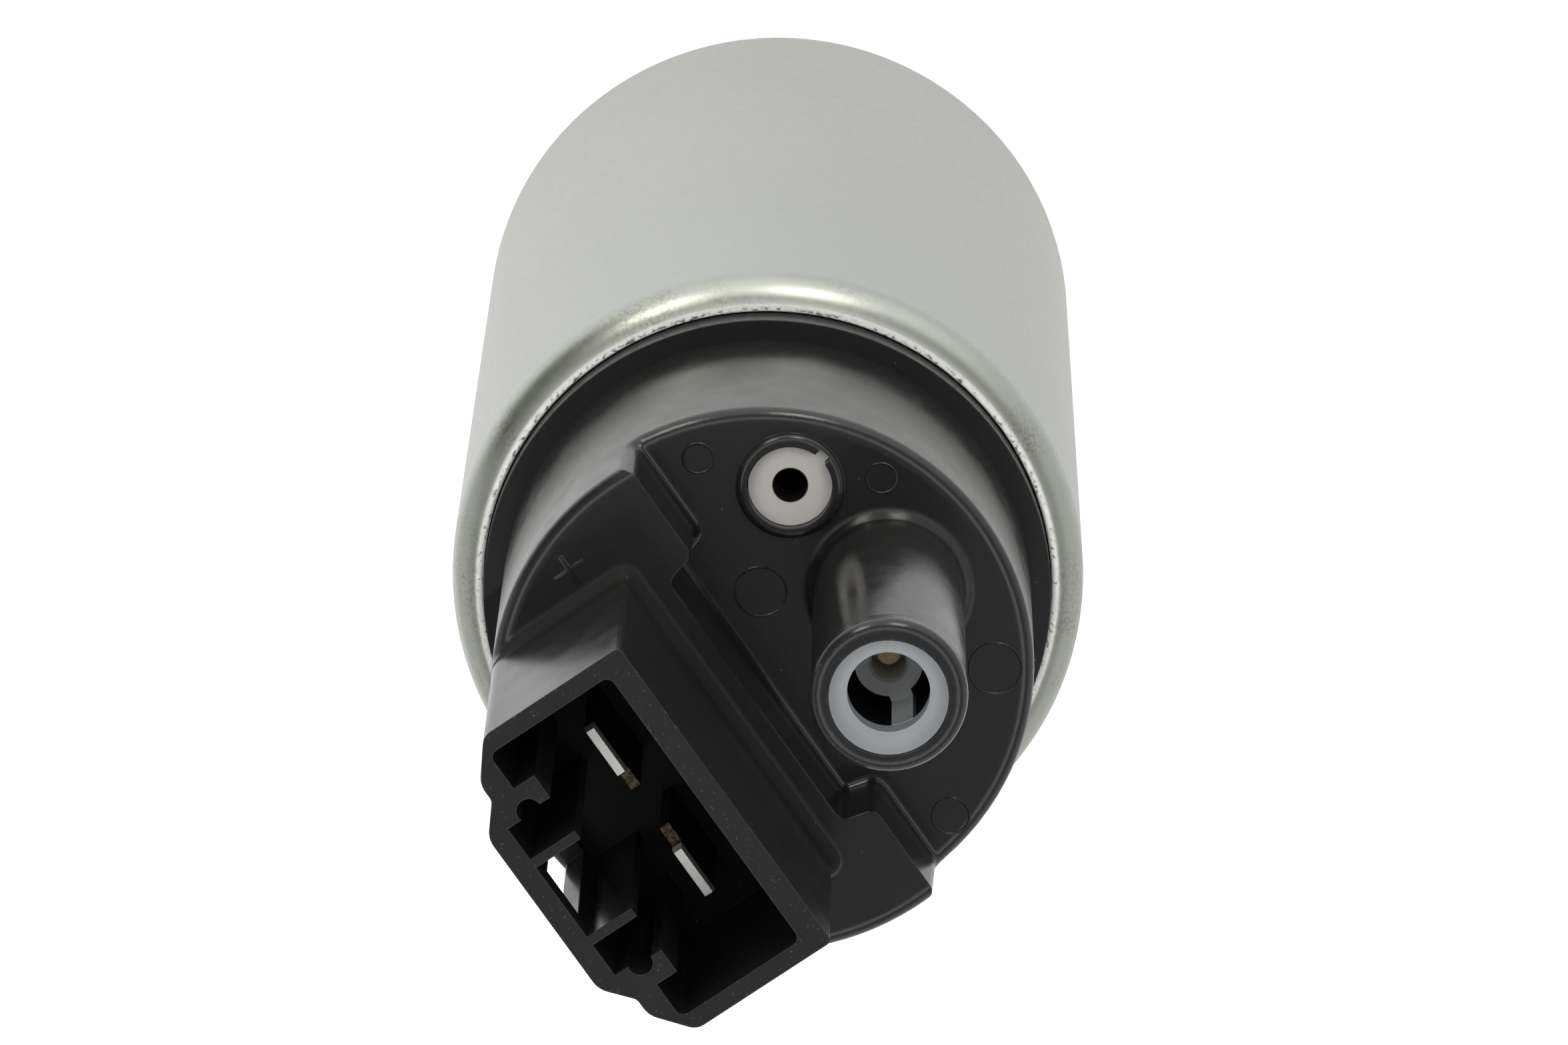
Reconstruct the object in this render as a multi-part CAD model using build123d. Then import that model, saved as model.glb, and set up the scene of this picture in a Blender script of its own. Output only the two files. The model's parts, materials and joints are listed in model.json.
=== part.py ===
from build123d import *
import os
from math import acos, cos, degrees, hypot, pi, radians, sin, sqrt, tan

os.makedirs("parts", exist_ok=True)

# In-tank turbine fuel pump, standing upright with its outlet end up.
# The origin is on the case axis, halfway along the steel case.
# +Z points to the outlet, +X runs along the connector's long side,
# and the connector is on the -Y side.

# Steel case: a tube with both ends bored out thinner and rolled in
case_r = 19.0
case_length = 64.2
case_wall = 1.3
lip_wall = 0.8
lip_roll_r = 2.75
lip_reach = 1.6
lip_nose = 0.12
top_seat_depth = 7.0

# Clearances
seat_gap = 0.05
press_gap = 0.02
running_gap = 0.03
face_gap = 0.05
shaft_clear = 0.4
touch = 0.01

# Outlet cover: collar, drum, raised step and inner bell
collar_gap = 0.4
collar_height = 1.3
collar_step = 1.2
drum_height = 17.0
drum_edge = 0.9
drum_wall = 2.2
roof_thick = 2.6
socket_floor_thick = 3.5
step_height = 5.0
step_line_y = -0.55
step_wing_y = 1.5
step_corner_x = 8.8
step_corner_run = 0.5
step_corner_radii = [0, 0, 0, 0.6, 0.8, 0.8, 0.6, 0]
step_draft = 3.0
step_foot_r = 0.4
step_base = 4.0
bell_plateau_y = -5.0

# Connector housing on the raised step
socket_height = 14.5
socket_half_x = 10.6
socket_back_y = -2.3
socket_depth = 14.2
socket_corner = (10.6, -11.65)
socket_shoulder = (8.35, -13.45)
socket_notch_x = 7.2
socket_keel = (5.45, -14.92)
socket_radii = [0.4, 1.0, 1.5, 0.6, 1.5, 1.5, 0.6, 1.5, 1.0, 0.4]
socket_foot_r = 0.8
socket_wall = 1.1
socket_back_wall = 1.45
socket_pocket_y = -12.0
socket_pocket_r = 0.5
socket_keel_half_x = 5.3
socket_keel_wall = 1.27
hook_inner_x = 5.5
hook_outer_x = 7.1
hook_top_y = -10.6
hook_notch_r = 0.72
hook_notch_y = -12.05
rib_inner_x = 2.5
rib_thick = 0.6
window_half_x = 1.55
window_drop = 1.8
window_height = 11.2

# Terminals
terminal_x = 4.4
terminal_y = -7.75
terminal_width = 3.4
terminal_thick = 0.64
terminal_tip = 0.52
terminal_bevel = 0.5
terminal_corner = 0.12
terminal_drop = 6.3
shoulder_inner = 1.3
shoulder_drop = 1.1
tab_inner_x = 2.9
tab_width = 1.3
tab_length = 4.1

# Hose nipple and its check valve
nipple_y = 8.85
nipple_height = 21.4
nipple_r = 4.4
nipple_foot_r = 0.45
bead_r = 4.49
bead_low_r = 4.45
bead_length = 1.7
bead_edge = 0.8
nipple_bore_r = 2.95
nipple_seat_rise = 1.7
nipple_inlet_r = 1.7
mouth_r = 3.41
mouth_depth = 2.4
mouth_recess = 0.2
guide_throat_r = 2.35
guide_throat_edge = 1.0
guide_leg_width = 1.3
guide_leg_thick = 0.6
guide_leg_turn = -14.0
cup_r = 1.95
cup_drop = 6.7
cup_length = 5.0
cup_bore_r = 1.0
cup_mouth = 0.15
cup_floor = 1.7
stem_r = 0.68
stem_drop = 2.0
poppet_head_r = 2.3
poppet_head_thick = 1.4
seal_thick = 0.9
spigot_r = 0.7
spigot_length = 0.4
check_spring_r = 1.35
check_wire_r = 0.16
check_turns = 6

# Relief valve beside the nipple
relief_turn = 137.66
relief_margin = 1.22
relief_ring_r = 3.15
relief_ring_rise = 0.65
relief_ring_edge = 0.45
relief_plug_r = 2.45
relief_plug_thick = 1.8
relief_plug_hole_r = 1.0
relief_nib_length = 0.45
relief_nib_width = 0.8
relief_nib_turn = 100.0
relief_chamber_r = 1.9
relief_chamber_length = 6.3
relief_boss_r = 3.2
relief_inlet_r = 0.9
relief_seat_thick = 2.0
relief_ball_r = 1.5
relief_spring_r = 1.3
relief_wire_r = 0.15
relief_turns = 4

# Brushes, springs, straps and chokes
brush_x = 7.5
brush_radial = 4.0
brush_wide = 6.0
brush_long = 10.0
brush_slot_gap = 0.05
brush_box_wall = 1.2
brush_box_r = 0.8
brush_box_clear = 2.5
brush_spring_r = 1.5
brush_wire_r = 0.2
brush_turns = 7
lead_r = 0.45
strap_thick = 0.5
strap_half_x = 1.7
strap_half_y = 2.6
arm_width = 1.0
arm_gap = 0.2
arm_drop = 6.8
choke_wall_gap = 0.4
choke_tab_gap = 0.1
choke_core_r = 1.4
choke_core_length = 12.0
choke_wound_r = 1.9
choke_wound_length = 8.6
choke_wound_drop = 3.0
choke_grooves = 9
choke_groove_depth = 0.25
choke_lead_r = 0.3
choke_lead_inset = 0.6

# Bearings and shaft
shaft_r = 2.0
shaft_inset = 0.5
shaft_reach = 3.0
bearing_r = 4.0
hub_drop = 1.1
upper_bearing_length = 6.0
hub_r = 5.4
hub_pocket = 1.2
lower_bearing_length = 5.9

# Magnets and their clips
magnet_thick = 4.7
magnet_half_turn = 65.0
magnet_overhang_low = 2.0
magnet_overhang_high = 4.5
clip_thick = 0.5
clip_leg_depth = 3.5
clip_inset = 2.5

# Armature
air_gap = 0.6
slot_count = 8
slot_floor_r = 5.6
slot_floor_half = 0.8
tooth_tip = 1.3
slot_top_half = 2.9
slot_mouth = 1.8
slot_liner = 0.12
winding_inner_r = 4.6
winding_inset = 0.9
winding_crown = 4.0
winding_round = 1.2
winding_clear_high = 1.78
winding_clear_low = 0.48
commutator_r = 10.5
commutator_bore_r = 4.4
commutator_clear = 2.0
segment_thick = 1.6
segment_gap = 0.6
commutator_hub_thick = 3.0

# Pump stage: casing, impeller and inlet cover
inlet_plate_thick = 7.0
casing_side_wall = 2.65
impeller_thick = 3.9
impeller_gap = 0.1
vane_count = 37
vane_length = 2.5
impeller_rim = 0.6
vane_thick = 0.7
vane_sweep = 4.0
balance_hole_r = 1.2
balance_hole_at_r = 7.0
balance_hole_count = 3
flat_depth = 0.5
flat_run = 0.25
channel_inner_margin = 0.3
channel_outer_margin = 0.2
channel_depth = 1.5
channel_turn = 300.0
port_r = 1.4
port_inset_turn = 7.0
casing_boss_r = 5.4
casing_boss_height = 6.4
casing_top_plate = 2.6
casing_rim_height = 1.9
inlet_face_drop = 0.9
inlet_turn = 90.0
inlet_ahead_turn = 15.0
inlet_margin = 0.9
inlet_tube_r = 5.2
inlet_bore_r = 3.9
inlet_tube_length = 8.0
inlet_tube_edge = 0.5
peg_turn = 0.0
peg_at_r = 11.0
peg_r = 1.5
peg_length = 4.0
vapour_hole_r = 0.6
vapour_turn = 215.0
thrust_pad_r = 2.6
thrust_pad_thick = 1.0

# Levels worked out from the sizes above
outside = 2 * case_r
case_top_z = case_length / 2
case_bore_r = case_r - case_wall
seat_r = case_r - lip_wall
lip_mouth_r = case_r - lip_reach
roll_r = case_r - lip_roll_r
roll_z = case_top_z - sqrt(lip_roll_r**2 - (lip_mouth_r - roll_r) ** 2)
cover_seat_z = case_top_z - top_seat_depth
cover_r = seat_r - seat_gap
collar_r = lip_mouth_r - collar_gap
drum_r = collar_r - collar_step
collar_z = case_top_z + collar_height
face_z = case_top_z + drum_height
plateau_z = face_z + step_height
socket_z = plateau_z + socket_height
socket_floor_z = socket_z - socket_depth
roof_z = face_z - roof_thick
bell_r = drum_r - drum_wall
bell_plateau_z = socket_floor_z - socket_floor_thick
terminal_z = socket_z - terminal_drop
tab_end_z = bell_plateau_z - tab_length
nipple_z = face_z + nipple_height
valve_seat_z = face_z + nipple_seat_rise
mouth_z = nipple_z - mouth_recess
mouth_floor_z = nipple_z - mouth_depth
cup_z = nipple_z - cup_drop
cup_end_z = cup_z - cup_length
stem_z = cup_z - stem_drop
seal_z = valve_seat_z + face_gap
poppet_z = seal_z + seal_thick + press_gap
poppet_top_z = poppet_z + poppet_head_thick
relief_at_r = drum_r - relief_margin - relief_ring_r
relief_x = relief_at_r * cos(radians(relief_turn))
relief_y = relief_at_r * sin(radians(relief_turn))
plug_low_z = face_z - relief_plug_thick
chamber_low_z = plug_low_z - relief_chamber_length
ball_z = chamber_low_z + sqrt(relief_ball_r**2 - relief_inlet_r**2) + running_gap
relief_reach = relief_ball_r + relief_wire_r + press_gap
relief_spring_z = ball_z + sqrt(relief_reach**2 - relief_spring_r**2) - relief_wire_r
upper_bearing_z = cover_seat_z - hub_drop
shaft_top_z = upper_bearing_z + upper_bearing_length - shaft_inset
commutator_top_z = upper_bearing_z - commutator_clear
brush_box_end_z = commutator_top_z + brush_box_clear
brush_low_z = commutator_top_z + face_gap
brush_high_z = brush_low_z + brush_long
strap_low_z = roof_z - strap_thick
choke_top_z = bell_plateau_z
choke_wound_top_z = choke_top_z - choke_wound_drop
choke_wound_low_z = choke_wound_top_z - choke_wound_length
tab_outer_x = tab_inner_x + tab_width
arm_x = tab_outer_x + choke_tab_gap + choke_wound_r
choke_y = -sqrt((bell_r - choke_wall_gap - choke_wound_r) ** 2 - arm_x**2)
arm_reach_y = choke_y + choke_wound_r + arm_gap
arm_end_z = roof_z - arm_drop
slide_r = shaft_r + running_gap
magnet_inner_r = case_bore_r - magnet_thick
clip_leg_r = case_bore_r - clip_leg_depth
core_r = magnet_inner_r - air_gap
slot_top_r = core_r - tooth_tip
winding_outer_r = core_r - winding_inset
commutator_hub_z = commutator_top_z - segment_thick - commutator_hub_thick
winding_ends = winding_crown + slot_liner
core_high_z = commutator_hub_z - winding_clear_high - winding_ends
inlet_face_z = -case_top_z - inlet_face_drop
inlet_end_z = inlet_face_z - inlet_tube_length
inlet_at_r = collar_r - inlet_margin - inlet_tube_r
split_z = inlet_face_z + inlet_plate_thick
impeller_low_z = split_z + face_gap
impeller_high_z = impeller_low_z + impeller_thick
pocket_z = impeller_high_z + face_gap
pocket_r = cover_r - casing_side_wall
impeller_r = pocket_r - impeller_gap
vane_tip_r = impeller_r - impeller_rim
vane_root_r = vane_tip_r - vane_length
channel_inner_r = vane_root_r - channel_inner_margin
channel_outer_r = vane_tip_r + channel_outer_margin
top_plate_z = pocket_z + casing_top_plate
casing_seat_z = top_plate_z + casing_rim_height
casing_rim_r = cover_r - 2 * case_wall
casing_boss_top_z = pocket_z + casing_boss_height
lower_bearing_z = casing_boss_top_z - lower_bearing_length
core_low_z = casing_boss_top_z + winding_clear_low + winding_ends
magnet_low_z = core_low_z - magnet_overhang_low
magnet_high_z = core_high_z + magnet_overhang_high
shaft_bottom_z = split_z - shaft_reach
thrust_pad_z = shaft_bottom_z - face_gap - thrust_pad_thick


# Plain shapes
def disc(radius, low, high, x=0, y=0):
    return Pos(x, y, low) * extrude(Circle(radius), high - low)


def ring(outer, inner, low, high, x=0, y=0):
    return disc(outer, low, high, x, y) - disc(inner, low, high, x, y)


def block(low, high):
    size = [high[i] - low[i] for i in range(3)]
    middle = [(high[i] + low[i]) / 2 for i in range(3)]
    return Pos(*middle) * Box(*size)


def turned(*edges):
    half_section = make_face([Plane.XZ * edge for edge in edges])
    return revolve(half_section, Axis.Z, 360)


def turned_corners(*corners):
    return revolve(Plane.XZ * make_face(Polyline(*corners, close=True)), Axis.Z, 360)


def around(count, shape, start=0.0):
    return [Rot(0, 0, start + 360 * i / count) * shape for i in range(count)]


def on_circle(radius, turn):
    return radius * cos(radians(turn)), radius * sin(radians(turn))


def sector(inner, outer, start, end):
    middle = (start + end) / 2
    return make_face(
        [
            ThreePointArc(on_circle(outer, start), on_circle(outer, middle), on_circle(outer, end)),
            Line(on_circle(outer, end), on_circle(inner, end)),
            ThreePointArc(on_circle(inner, end), on_circle(inner, middle), on_circle(inner, start)),
            Line(on_circle(inner, start), on_circle(outer, start)),
        ]
    )


# Coil springs: one wire swept along two tangent arcs for each quarter turn
def quarter_arcs(start, start_way, end, end_way):
    across = end - start
    ways = start_way + end_way
    spread = 2 * (1 - start_way.dot(end_way))
    along = across.dot(ways)
    reach = (sqrt(along**2 + spread * across.dot(across)) - along) / spread
    joint = (start + end + (start_way - end_way) * reach) / 2
    joint_way = (end - end_way * reach) - (start + start_way * reach)
    first = TangentArc(start, joint, tangent=start_way)
    second = TangentArc(joint, end, tangent=joint_way.normalized())
    return [first, second]


def coil_spring(mean_r, wire_r, turns, low, high, x=0, y=0):
    rise = high - low - 2 * wire_r
    steps = 4 * turns
    climb = rise / (2 * pi * turns)

    def place(i):
        turn = pi * i / 2
        return Vector(x + mean_r * cos(turn), y + mean_r * sin(turn), low + wire_r + rise * i / steps)

    def way(i):
        turn = pi * i / 2
        return Vector(-mean_r * sin(turn), mean_r * cos(turn), climb).normalized()

    arcs = []
    for i in range(steps):
        arcs += quarter_arcs(place(i), way(i), place(i + 1), way(i + 1))
    section = Plane(place(0), z_dir=way(0)) * Circle(wire_r)
    points = [place(i / 4) for i in range(4 * steps + 1)]
    half_turn = 8
    least = min((a - b).length for i, a in enumerate(points) for b in points[i + half_turn :])
    print("spring self-gap", round(least - 2 * wire_r, 2), "mm")
    return sweep(section, path=Wire(arcs))


# The rolled edge of the case, and the cover shoulder that it holds down
def roll_point(radius, side=1, turn=None):
    angle = acos((lip_mouth_r - roll_r) / lip_roll_r) if turn is None else turn
    return roll_r + radius * cos(angle), side * (roll_z + radius * sin(angle))


def roll_arc(radius, side, turn=None):
    angle = acos((lip_mouth_r - roll_r) / lip_roll_r) if turn is None else turn
    foot = (roll_r + radius, side * roll_z)
    return ThreePointArc(foot, roll_point(radius, side, angle / 2), roll_point(radius, side, angle))


def lip_end(side):
    outer = roll_point(lip_roll_r, side)
    inner = roll_point(lip_roll_r - lip_wall, side)
    angle = acos((lip_mouth_r - roll_r) / lip_roll_r)
    middle = roll_point(lip_roll_r - lip_wall / 2, side)
    nose = (middle[0] - lip_nose * sin(angle), middle[1] + side * lip_nose * cos(angle))
    return ThreePointArc(outer, nose, inner)


def case_tube():
    edges = [Line((case_r, -roll_z), (case_r, roll_z))]
    for side in (1, -1):
        edges += [roll_arc(lip_roll_r, side), lip_end(side), roll_arc(lip_roll_r - lip_wall, side)]
    edges += [
        Polyline(
            (seat_r, roll_z),
            (seat_r, cover_seat_z),
            (case_bore_r, cover_seat_z),
            (case_bore_r, casing_seat_z),
            (seat_r, casing_seat_z),
            (seat_r, -roll_z),
        )
    ]
    return turned(*edges)


def shoulder_edges(side, far_z):
    radius = lip_roll_r - lip_wall - seat_gap
    turn = acos((collar_r - roll_r) / radius)
    return [
        Line((0, far_z), (cover_r, far_z)),
        Line((cover_r, far_z), (cover_r, side * roll_z)),
        roll_arc(radius, side, turn),
    ], roll_point(radius, side, turn)


# Outlet cover
def step_outline():
    far = outside
    wing_x = step_corner_x + step_corner_run
    corners = [
        (-far, -far),
        (far, -far),
        (far, step_wing_y),
        (wing_x, step_wing_y),
        (step_corner_x, step_line_y),
        (-step_corner_x, step_line_y),
        (-wing_x, step_wing_y),
        (-far, step_wing_y),
    ]
    return make_face(FilletPolyline(*corners, radius=step_corner_radii, close=True))


def on_drum_rim(edge, z):
    points = [edge @ 0, edge @ 0.5, edge @ 1]
    on_level = all(abs(point.Z - z) < touch for point in points)
    return on_level and all(abs(hypot(point.X, point.Y) - drum_r) < touch for point in points)


def stepped_drum():
    prism = Pos(0, 0, face_z) * extrude(step_outline(), step_height)
    walls = prism.faces().filter_by_position(Axis.Y, step_line_y - touch, step_wing_y + touch)
    prism = draft(walls, Plane.XY.offset(plateau_z), step_draft)
    slab = block((-outside, -outside, face_z - step_base), (outside, outside, face_z))
    drum = slab + prism
    reach = step_height * tan(radians(step_draft)) + touch
    foot = drum.edges().filter_by_position(Axis.Z, face_z, face_z)
    foot = foot.filter_by_position(Axis.Y, step_line_y - reach, step_wing_y + reach)
    drum = fillet(foot, step_foot_r) & disc(drum_r, face_z - step_base, plateau_z)
    rims = [edge for edge in drum.edges() if on_drum_rim(edge, face_z) or on_drum_rim(edge, plateau_z)]
    return fillet(rims, drum_edge)


def socket_outline():
    keel_x, keel_y = socket_keel
    shoulder_x, shoulder_y = socket_shoulder
    corner_x, corner_y = socket_corner
    right = [
        (socket_half_x, socket_back_y),
        (corner_x, corner_y),
        (shoulder_x, shoulder_y),
        (socket_notch_x, shoulder_y),
        (keel_x, keel_y),
    ]
    left = [(-x, y) for x, y in reversed(right)]
    return make_face(FilletPolyline(*right, *left, radius=socket_radii, close=True))


def socket_cavity():
    half_x = socket_half_x - socket_wall
    back_y = socket_back_y - socket_back_wall
    keel_y = socket_keel[1] + socket_keel_wall
    main = Pos(0, (back_y + socket_pocket_y) / 2)
    main *= RectangleRounded(2 * half_x, back_y - socket_pocket_y, socket_pocket_r)
    keel = Pos(0, (hook_top_y + keel_y) / 2) * Rectangle(2 * socket_keel_half_x, hook_top_y - keel_y)
    outline = main + keel
    for side in (1, -1):
        hook = Pos(side * (hook_inner_x + hook_outer_x) / 2, (hook_top_y + keel_y) / 2)
        outline -= hook * Rectangle(hook_outer_x - hook_inner_x, hook_top_y - keel_y)
        outline += Pos(side * hook_inner_x, hook_notch_y) * Circle(hook_notch_r)
        rib = Pos(side * (rib_inner_x + rib_thick / 2), (hook_top_y + keel_y) / 2)
        outline -= rib * Rectangle(rib_thick, hook_top_y - keel_y)
    return Pos(0, 0, socket_floor_z) * extrude(outline, socket_depth)


def connector_housing():
    base_z = plateau_z - drum_edge
    body = Pos(0, 0, base_z) * extrude(socket_outline(), socket_z - base_z)
    top = socket_z - window_drop
    return body - block((-window_half_x, -outside, top - window_height), (window_half_x, hook_top_y, top))


def socketed_drum():
    drum = stepped_drum() + connector_housing()
    foot = [
        edge
        for edge in drum.edges().filter_by_position(Axis.Z, plateau_z, plateau_z)
        if on_socket_foot(edge @ 0.5)
    ]
    return fillet(foot, socket_foot_r)


def on_socket_foot(point):
    behind = abs(point.Y - socket_back_y) < socket_radii[0] and abs(point.X) < socket_half_x
    beside = abs(abs(point.X) - socket_half_x) < socket_radii[0] and point.Y < socket_back_y
    return behind or beside


def nipple_bead():
    low_z = nipple_z - bead_length
    shoulder_z = nipple_z - bead_edge
    mouth_edge = (bead_r - bead_edge, nipple_z)
    return turned(
        Polyline((bead_r, shoulder_z), (bead_low_r, low_z), (0, low_z), (0, nipple_z), mouth_edge),
        RadiusArc(mouth_edge, (bead_r, shoulder_z), bead_edge),
    )


def nipple_body():
    foot_r = nipple_r + nipple_foot_r
    foot = turned_corners(
        (0, face_z - nipple_foot_r),
        (foot_r, face_z - nipple_foot_r),
        (foot_r, face_z),
        (nipple_r, face_z + nipple_foot_r),
        (0, face_z + nipple_foot_r),
    )
    tube = disc(nipple_r, roof_z, nipple_z - bead_length)
    return Pos(0, nipple_y, 0) * (tube + nipple_bead() + foot)


def nipple_passage():
    inlet = disc(nipple_inlet_r, cover_seat_z, valve_seat_z)
    chamber = disc(nipple_bore_r, valve_seat_z, mouth_floor_z)
    mouth = disc(mouth_r, mouth_floor_z, nipple_z)
    return Pos(0, nipple_y, 0) * (inlet + chamber + mouth)


def relief_ring():
    top_z = face_z + relief_ring_rise
    ring = disc(relief_ring_r, roof_z, top_z, relief_x, relief_y)
    return fillet(ring.edges().filter_by_position(Axis.Z, top_z, top_z), relief_ring_edge)


def relief_nib(low, high, gap=0.0):
    reach = relief_plug_r + relief_nib_length + gap
    bar = Pos(reach / 2, 0) * Rectangle(reach, relief_nib_width + 2 * gap)
    return Rot(0, 0, relief_nib_turn) * (Pos(0, 0, low) * extrude(bar, high - low))


def relief_passage():
    pocket = disc(relief_plug_r + press_gap, plug_low_z, plateau_z)
    pocket += relief_nib(plug_low_z, plateau_z, press_gap)
    chamber = disc(relief_chamber_r, chamber_low_z, plug_low_z)
    inlet = disc(relief_inlet_r, cover_seat_z, chamber_low_z)
    return Pos(relief_x, relief_y, 0) * (pocket + chamber + inlet)


def brush_box():
    half_x = brush_radial / 2 + brush_slot_gap + brush_box_wall
    half_y = brush_wide / 2 + brush_slot_gap + brush_box_wall
    box = block((brush_x - half_x, -half_y, brush_box_end_z), (brush_x + half_x, half_y, bell_plateau_z))
    return fillet(box.edges().filter_by(Axis.Z), brush_box_r)


def brush_slot():
    half_x = brush_radial / 2 + brush_slot_gap
    half_y = brush_wide / 2 + brush_slot_gap
    return block((brush_x - half_x, -half_y, commutator_top_z), (brush_x + half_x, half_y, roof_z))


def strap_slot():
    half = arm_width / 2 + press_gap
    return block((arm_x - half, arm_reach_y, strap_low_z), (arm_x + half, 0, roof_z))


def both_sides(shape):
    return [shape, mirror(shape, Plane.YZ)]


def terminal_slot():
    reach = terminal_width / 2 + press_gap
    half = terminal_thick / 2 + press_gap
    low = (terminal_x - reach - shoulder_inner, terminal_y - half, bell_plateau_z)
    high = (terminal_x + reach, terminal_y + half, socket_floor_z)
    return block(low, high)


def outlet_cover():
    edges, shoulder = shoulder_edges(1, cover_seat_z)
    neck_z = face_z - step_base
    rim = [shoulder, (collar_r, collar_z), (drum_r, collar_z), (drum_r, neck_z), (0, neck_z), (0, cover_seat_z)]
    collar = turned(*edges, Polyline(*rim))
    outer = collar + socketed_drum() + nipple_body()
    outer += relief_ring()
    bell = disc(bell_r, cover_seat_z, roof_z)
    under_step = disc(bell_r, roof_z, bell_plateau_z) & block(
        (-drum_r, -drum_r, roof_z), (drum_r, bell_plateau_y, bell_plateau_z)
    )
    hub = disc(hub_r, upper_bearing_z, roof_z)
    relief_boss = disc(relief_boss_r, chamber_low_z - relief_seat_thick, roof_z, relief_x, relief_y)
    inside = bell - hub - (relief_boss & disc(drum_r, cover_seat_z, roof_z)) + under_step
    for box in both_sides(brush_box()):
        inside -= box
    cover = outer - inside
    for slot in both_sides(brush_slot()) + both_sides(strap_slot()) + both_sides(terminal_slot()):
        cover -= slot
    cover -= disc(bearing_r + press_gap, upper_bearing_z, upper_bearing_z + upper_bearing_length)
    bearing_top_z = upper_bearing_z + upper_bearing_length
    cover -= disc(slide_r + shaft_clear, upper_bearing_z, bearing_top_z + hub_pocket)
    cover -= socket_cavity()
    cover -= nipple_passage()
    cover -= relief_passage()
    return cover


# Terminals, straps, chokes and brushes, each made for the +X side
def terminal():
    inner = terminal_x - terminal_width / 2
    outer = terminal_x + terminal_width / 2
    shoulder_z = terminal_z - shoulder_drop
    front = Polyline(
        (inner + terminal_corner, terminal_z),
        (outer - terminal_corner, terminal_z),
        (outer, terminal_z - terminal_bevel),
        (outer, bell_plateau_z),
        (tab_outer_x, bell_plateau_z),
        (tab_outer_x, tab_end_z),
        (tab_inner_x, tab_end_z),
        (tab_inner_x, bell_plateau_z),
        (inner - shoulder_inner, bell_plateau_z),
        (inner - shoulder_inner, shoulder_z),
        (inner, shoulder_z),
        (inner, terminal_z - terminal_bevel),
        close=True,
    )
    half = terminal_thick / 2
    tip = terminal_tip / 2
    side = Polyline(
        (terminal_y - half, tab_end_z),
        (terminal_y - half, terminal_z - terminal_bevel),
        (terminal_y - tip, terminal_z),
        (terminal_y + tip, terminal_z),
        (terminal_y + half, terminal_z - terminal_bevel),
        (terminal_y + half, tab_end_z),
        close=True,
    )
    sheet = extrude(Plane.XZ * make_face(front), outside)
    return sheet & extrude(Plane.YZ * make_face(side), outside)


def brush():
    half_x = brush_radial / 2
    half_y = brush_wide / 2
    return block((brush_x - half_x, -half_y, brush_low_z), (brush_x + half_x, half_y, brush_high_z))


def brush_strap():
    plate = block(
        (brush_x - strap_half_x, -strap_half_y, strap_low_z), (brush_x + strap_half_x, strap_half_y, roof_z)
    )
    half = arm_width / 2
    arm = block((arm_x - half, arm_reach_y, strap_low_z), (arm_x + half, 0, roof_z))
    tail = block((arm_x - half, arm_reach_y, arm_end_z), (arm_x + half, arm_reach_y + strap_thick, roof_z))
    return plate + arm + tail


def choke_core():
    return disc(choke_core_r, choke_top_z - choke_core_length, choke_top_z, arm_x, choke_y)


def choke_groove(z):
    inner = choke_wound_r - choke_groove_depth
    outer = choke_wound_r + choke_groove_depth
    rise = 2 * choke_groove_depth
    return turned_corners((inner, z), (outer, z - rise), (outer, z + rise))


def choke_lead(x, y, z):
    way = Vector(arm_x - x, choke_y - y, 0)
    lead = Plane((x, y, z), z_dir=way) * Circle(choke_lead_r)
    hook = disc(choke_lead_r, z - choke_lead_r, z + choke_lead_r, x, y)
    return hook + extrude(lead, way.length - choke_core_r - 2 * press_gap)


def choke_winding():
    wound = ring(choke_wound_r, choke_core_r + press_gap, choke_wound_low_z, choke_wound_top_z)
    pitch = choke_wound_length / (choke_grooves + 1)
    for i in range(choke_grooves):
        wound -= choke_groove(choke_wound_low_z + pitch * (i + 1))
    beside = choke_lead_r + press_gap
    low_lead = choke_lead(arm_x, arm_reach_y - beside, choke_wound_low_z + choke_lead_inset)
    high_lead = choke_lead(tab_outer_x + beside, terminal_y, choke_wound_top_z - choke_lead_inset)
    return Pos(arm_x, choke_y, 0) * wound + low_lead + high_lead


def brush_spring():
    return coil_spring(brush_spring_r, brush_wire_r, brush_turns, brush_high_z, strap_low_z, brush_x)


def brush_lead():
    return disc(lead_r, brush_high_z, strap_low_z, brush_x)


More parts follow.
